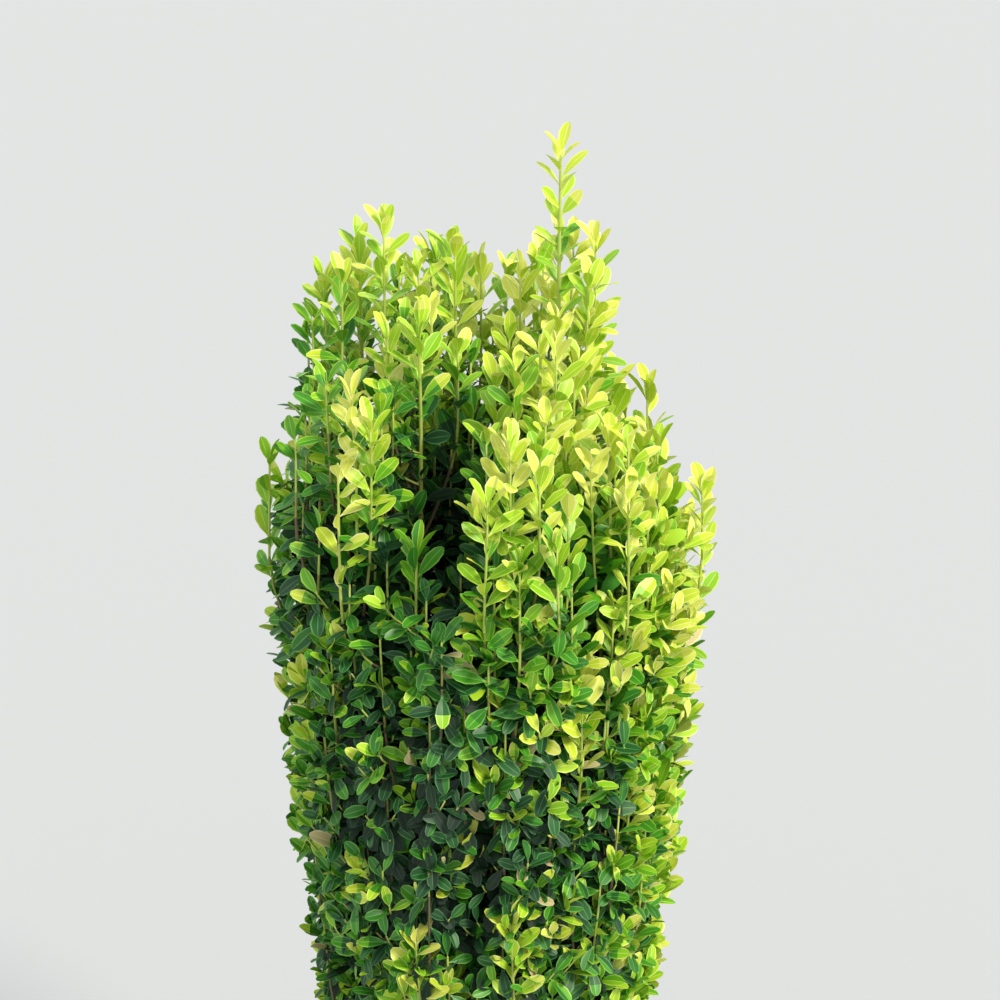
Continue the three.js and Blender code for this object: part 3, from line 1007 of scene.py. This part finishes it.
def shade_leaves(leaves):
    """Paints shade on leaves, darker tints the deeper they stand in the crown, and tells which
    ones are hidden.
    """
    x, y, z = leaves.root.T
    height = z - SOIL_LEVEL
    depth = crown_reach(height) - np.hypot(x, y)
    bay = in_first_bay(x, y)
    lit = ease(x, 60, 105) * ease(height, 480, 560)
    lit = np.maximum(lit, bay * ease(-y, 68, 88))
    below_roof = DOWN_SHARE * np.maximum(ROOF + BAY_ROOF * bay - height, 0)
    # Painted shade: leaves deep below the crown's side and roof get darker tints, fewer on the lit
    # right and at the first bay's front
    leaves.tint += mix(*SHADE_TINTS, lit) * ease(np.minimum(depth, below_roof), *SHADE_DEPTHS)
    below_sight = DOWN_SHARE * np.maximum(ROOF - BAY_ROOF * bay - height, 0)
    return np.minimum(depth, below_sight) > HIDDEN_DEPTH


def make_leaves(spire, twigs, finishes, rng):
    """The leaves of a spire's twigs. Hidden ones have fewer triangles."""
    leaves = keep_leaves(join_leaves([twig_leaves(twig, rng) for twig in twigs]))
    hidden = shade_leaves(leaves)
    lots = []
    for chosen, across, fine in ((~hidden, LEAF_ACROSS, True), (hidden, HIDDEN_ACROSS, False)):
        lot = pick(leaves, chosen)
        points, triangles, cells = leaf_mesh(lot, across)
        lots.append((points, triangles, leaf_numbers(lot, cells, rng, fine)))
    return mesh_piece(f"leaves_{spire.name}", finishes, *joined(lots))


def make_foliage():
    """Twigs and leaves of every spire, in place of its mass."""
    finishes = leaf_finishes()
    skins = [
        leaf_finish("smooth brown twig bark", "#6b5c43", 0.75),
        leaf_finish("half ripe twig skin", "#8f9446", 0.6),
        leaf_finish("green twig skin", "#bccb62", 0.5),
    ]
    placed = []
    for spire in SPIRES:
        node = f"foliage_{spire.name}"
        rng = np.random.default_rng(spire.seed)
        stem, shoots, sprigs = make_twigs(spire, placed, rng)
        lots = [twig_lot(twigs) for twigs in ([stem], shoots, sprigs)]
        finish_piece(mesh_piece(f"twigs_{spire.name}", skins, *joined(lots)), "bark", node)
        leaves = make_leaves(spire, (stem, *shoots, *sprigs), finishes, rng)
        shaded = math.cos(spire.bearing) < -0.5
        finish_piece(leaves, "leaf_green" if shaded and spire.outer else "leaf_lime", node)


def pot_inner_radius(height):
    taper = (POT_NECK_RADIUS - POT_BASE_RADIUS) / (POT_HEIGHT - RIM_DEPTH)
    return POT_BASE_RADIUS - POT_WALL + taper * height


def rounded(corners):
    """A profile of (radius, height) points. Each corner is given as its radius, its height,
    the size of the short curve that rounds it, and the length of the steps that lead to it."""
    profile = []
    for k, (radius, height, bend, step) in enumerate(corners):
        here = np.array((radius, height), float)
        curve = [here]
        if bend:
            before = here + unit(np.array(corners[k - 1][:2]) - here) * bend
            after = here + unit(np.array(corners[k + 1][:2]) - here) * bend
            shares = np.linspace(0, 1, 6)[:, None]
            middle = 2 * here * shares * (1 - shares)
            curve = list(before * (1 - shares) ** 2 + middle + after * shares**2)
        if profile:
            start, way = profile[-1], curve[0] - profile[-1]
            steps = max(1, round(float(np.linalg.norm(way)) / step))
            profile += [start + way * s / steps for s in range(1, steps)]
        profile += curve
    return np.array(profile)


def turned_shape(corners):
    """A closed shape turned round the Z axis from a profile that starts and ends on it."""
    profile = rounded(corners)
    angle = np.linspace(0, 2 * math.pi, POT_SIDES, endpoint=False)
    radius = profile[1:-1, :1]
    height = profile[1:-1, 1:] + 0 * angle
    rings = np.stack([radius * np.cos(angle), radius * np.sin(angle), height], axis=-1)
    ends = [(0, 0, profile[k, 1]) for k in (0, -1)]
    points = np.concatenate([rings.reshape(-1, 3), ends])
    return points, ring_triangles(len(profile) - 2, POT_SIDES)[0]


def cut_holes(piece, places, radius, depth):
    """Cuts upright round holes through a piece's foot."""
    tool = bmesh.new()
    for x, y in places:
        matrix = Matrix.Translation((x * MM, y * MM, 0))
        size = {"radius1": radius * MM, "radius2": radius * MM, "depth": 2 * depth * MM}
        bmesh.ops.create_cone(tool, cap_ends=True, segments=32, matrix=matrix, **size)
    mesh = bpy.data.meshes.new("holes")
    tool.to_mesh(mesh)
    tool.free()
    cutter = place_object("holes", mesh)
    modifier = piece.modifiers.new("holes", "BOOLEAN")
    modifier.operation = "DIFFERENCE"
    modifier.object = cutter
    shape = piece.evaluated_get(bpy.context.evaluated_depsgraph_get())
    cut = bpy.data.meshes.new_from_object(shape)
    piece.modifiers.clear()
    piece.data = cut
    bpy.data.objects.remove(cutter)


def throw_rings(points):
    """Moves the points of the pot's outer wall in and out by faint rings that waver."""
    x, y, height = points.T
    angle = np.arctan2(y, x)
    around = 1.4 * np.sin(angle) + 0.8 * np.sin(2 * angle + 1)
    rings = np.sin(2 * math.pi * height / RING_PITCH + around)
    rings += 0.5 * np.sin(2 * math.pi * height / WIDE_RING_PITCH - around)
    wall = ease(height, 3, 16) * (1 - ease(height, POT_HEIGHT - 9, POT_HEIGHT - 2))
    reach = np.hypot(x, y) + TINY
    outside = reach > pot_inner_radius(height) + POT_WALL / 2
    points[:, :2] *= (1 + RING_DEPTH * rings * wall * outside / reach)[:, None]


def make_pot():
    """A thrown clay pot with a deep rim, faint rings in its wall, and holes in its foot."""
    neck_height = POT_HEIGHT - RIM_DEPTH
    corners = [
        (0, 0, 0, COARSE_STEP),
        (POT_BASE_RADIUS, 0, EDGE, COARSE_STEP),
        (POT_NECK_RADIUS, neck_height, EDGE / 2, FINE_STEP),
        (RIM_RADIUS - 3, neck_height, EDGE, FINE_STEP),
        (RIM_RADIUS, POT_HEIGHT, RIM_EDGE, FINE_STEP),
        (pot_inner_radius(POT_HEIGHT), POT_HEIGHT, RIM_EDGE, FINE_STEP),
        (pot_inner_radius(POT_FLOOR), POT_FLOOR, EDGE, COARSE_STEP),
        (0, POT_FLOOR, 0, COARSE_STEP),
    ]
    points, triangles = turned_shape(corners)
    throw_rings(points)
    pot = mesh_piece("clay_pot", [fired_clay()], points, triangles)
    turns = [2 * math.pi * k / DRAIN_COUNT for k in range(DRAIN_COUNT)]
    places = [(DRAIN_CIRCLE * math.cos(t), DRAIN_CIRCLE * math.sin(t)) for t in turns]
    cut_holes(pot, places, DRAIN_RADIUS, POT_FLOOR + 3)
    finish_piece(pot, "clay", "pot")


def compost_height(x, y):
    """The height of the compost's top: level in the middle, lower at the pot, with lumps."""
    edge = pot_inner_radius(SOIL_EDGE)
    slope = ease(math.hypot(x, y), edge - SOIL_SLOPE, edge)
    place = Vector((x / LUMP_SIZE, y / LUMP_SIZE, 3.7))
    lumps = sum(strength * noise.noise(place * finer) for finer, strength in LUMP_LAYERS)
    return SOIL_LEVEL - SOIL_CROWN * slope + LUMP_HEIGHT * lumps


def make_compost():
    """The pot's compost, a closed shape with a lumpy top."""
    low = POT_FLOOR + SEAT_GAP
    high = SOIL_EDGE - 3
    corners = [
        (0, low, 0, COARSE_STEP),
        (pot_inner_radius(low) - SIDE_GAP - EDGE, low, 0, COARSE_STEP),
        (pot_inner_radius(low + EDGE) - SIDE_GAP, low + EDGE, 0, COARSE_STEP),
        (pot_inner_radius(high) - SIDE_GAP, high, 0, COARSE_STEP),
        (pot_inner_radius(high) - 2 * SIDE_GAP, SOIL_EDGE, 0, FINE_STEP),
        (0, SOIL_LEVEL, 0, FINE_STEP),
    ]
    points, triangles = turned_shape(corners)
    for point in points:
        if point[2] > high:
            point[2] = compost_height(point[0], point[1])
    compost = mesh_piece("compost", [damp_compost()], points, triangles)
    finish_piece(compost, "compost", "soil")


def lump_shape(detail):
    """The points and triangles of a round lump, to be pulled into crumbs."""
    ball = bmesh.new()
    bmesh.ops.create_icosphere(ball, subdivisions=detail, radius=1)
    points = np.array([vert.co for vert in ball.verts])
    triangles = np.array([[vert.index for vert in face.verts] for face in ball.faces])
    ball.free()
    return points, triangles


def turned(a, b, angle):
    return a * math.cos(angle) - b * math.sin(angle), a * math.sin(angle) + b * math.cos(angle)


def tumbled(shape, lift, spin):
    """A shape tipped up by one angle, and then turned round the upright axis by another."""
    x, y, z = shape.T
    x, z = turned(x, z, lift)
    return np.stack([*turned(x, y, spin), z], axis=-1)


def make_crumb(rng, fibre, shapes, reach):
    """One crumb or fibre: its points, its triangles, and the number of its brown."""
    radius = reach * math.sqrt(rng.uniform(0.02, 1))
    turn = rng.uniform(0, 2 * math.pi)
    x, y = radius * math.cos(turn), radius * math.sin(turn)
    size = mix(*CRUMB_SIZES, rng.uniform() ** 3) / 2
    ball, faces = shapes[size > SMALL_CRUMB / 2 and not fibre]
    pull = np.array((1.25, 1, 0.8)) * size * rng.uniform(0.75, 1.2, 3)
    if fibre:
        pull = np.array((mix(*FIBRE_LENGTHS, rng.uniform()) / 2, 0.5, 0.4))
    knobs = 1 + rng.uniform(-0.24, 0.24, (len(ball), 1))
    spin = rng.uniform(0, 2 * math.pi)
    lift = rng.uniform(-0.3, 0.3)
    points = tumbled(ball * knobs * pull, lift, spin)
    points += (x, y, compost_height(x, y) + 0.25 * size)
    number = 2 if fibre else int(rng.uniform() < 0.4)
    return points, faces, np.full(len(faces), number)


def make_crumbs():
    """Loose crumbs and short fibres that lie on the compost, in three browns."""
    rng = np.random.default_rng(40)
    shapes = lump_shape(1), lump_shape(2)
    reach = pot_inner_radius(SOIL_EDGE) - 2 * SIDE_GAP - CRUMB_SIZES[1]
    count = CRUMB_COUNT + FIBRE_COUNT
    lots = [make_crumb(rng, k >= CRUMB_COUNT, shapes, reach) for k in range(count)]
    browns = [
        matt_finish("dark humus crumb", "#2d2017"),
        matt_finish("brown bark crumb", "#54402f"),
        matt_finish("dry straw-coloured fibre", "#8a6f4f"),
    ]
    crumbs = mesh_piece("compost_crumbs", browns, *joined(lots))
    finish_piece(crumbs, "compost", "soil")


def limb_mesh(line, radii, sides, fissures, seed):
    """A limb with the bark's relief: ridges and fissures drawn out along it."""
    steps = len(line)
    walked = np.concatenate([[0], np.cumsum(np.linalg.norm(np.diff(line, axis=0), axis=1))])
    relief = np.zeros((steps, sides))
    for r in range(steps):
        for c in range(sides):
            turn = 2 * math.pi * c / sides
            across = radii[r] / FISSURE_WIDTH
            place = (math.cos(turn) * across, math.sin(turn) * across, walked[r] / FISSURE_LENGTH)
            ridge = 1 - 2 * abs(noise.noise(Vector(place) + Vector((0, 0, 9.1 * seed))))
            fine = noise.noise(Vector(place) * 3.3)
            relief[r, c] = fissures * (ridge - 0.6 + 0.35 * fine)
    return tubes(line[None], radii[:, None] + relief, sides)[:2]


def make_limbs():
    """The trunk and the boughs, each with its bark."""
    old = limb_bark("fissured grey-brown bark", "#3a3026", "#93866f")
    young = limb_bark("smooth brown bough bark", "#443625", "#8f8058")
    heights = np.linspace(-LIMB_SINK, TRUNK_HEIGHT, 70)
    line = np.stack([trunk_lean(heights), 0 * heights, SOIL_LEVEL + heights], axis=-1)
    reach = trunk_reach(np.maximum(heights, 0))
    shape = limb_mesh(line, reach, 44, TRUNK_FISSURES, 0)
    finish_piece(mesh_piece("trunk_bark", [old], *shape), "bark", "trunk")
    for spire in SPIRES:
        steps = int((spire.enters - spire.fork) / 2.6) + 8
        line = line_point(spire, np.linspace(spire.fork, spire.enters, steps))
        radii = np.linspace(*BOUGH_RADII, steps)
        shape = limb_mesh(line, radii, 18, BOUGH_FISSURES, spire.seed)
        bough = mesh_piece(f"bark_{spire.name}", [young], *shape)
        finish_piece(bough, "bark", f"bough_{spire.name}")


# Camera: the photograph looks down on the plant from the front
CAMERA_PITCH = math.radians(24)
CAMERA_DISTANCE = 1700
CAMERA_TARGET = Vector((8.6, 0, SOIL_LEVEL + 604))


def make_camera():
    data = bpy.data.cameras.new("camera")
    data.lens = 92.7
    data.clip_start, data.clip_end = 0.05, 400
    camera = place_object("camera", data)
    back = Vector((0, -math.cos(CAMERA_PITCH), math.sin(CAMERA_PITCH)))
    camera.location = (CAMERA_TARGET + back * CAMERA_DISTANCE) * MM
    camera.rotation_euler = (math.pi / 2 - CAMERA_PITCH, 0, 0)
    bpy.context.scene.camera = camera


# Studio: a broad soft light high on the right, and a pale room all round
KEY_TOWARDS = Vector((0.56, -0.42, 0.72))
KEY_SOFTNESS = math.radians(18)


def make_studio():
    world = bpy.data.worlds.new("soft room")
    world.use_nodes = True
    sky = world.node_tree.nodes["Background"]
    sky.inputs["Color"].default_value = srgb("#f3f5f7")
    sky.inputs["Strength"].default_value = 0.9
    bpy.context.scene.world = world
    data = bpy.data.lights.new("key light", "SUN")
    data.energy = 2.8
    data.angle = KEY_SOFTNESS
    data.color = srgb("#fff8ec")[:3]
    key = place_object("key light", data)
    key.rotation_euler = KEY_TOWARDS.to_track_quat("Z", "Y").to_euler()
    bpy.ops.mesh.primitive_plane_add(size=300)
    floor = bpy.context.object
    floor.name = "floor"
    floor.data.materials.append(matt_finish("matt painted floor", "#bfc2c4"))
    bpy.context.scene.view_settings.view_transform = "Standard"


make_camera()
make_studio()
make_pot()
make_compost()
make_crumbs()
make_limbs()
make_foliage()
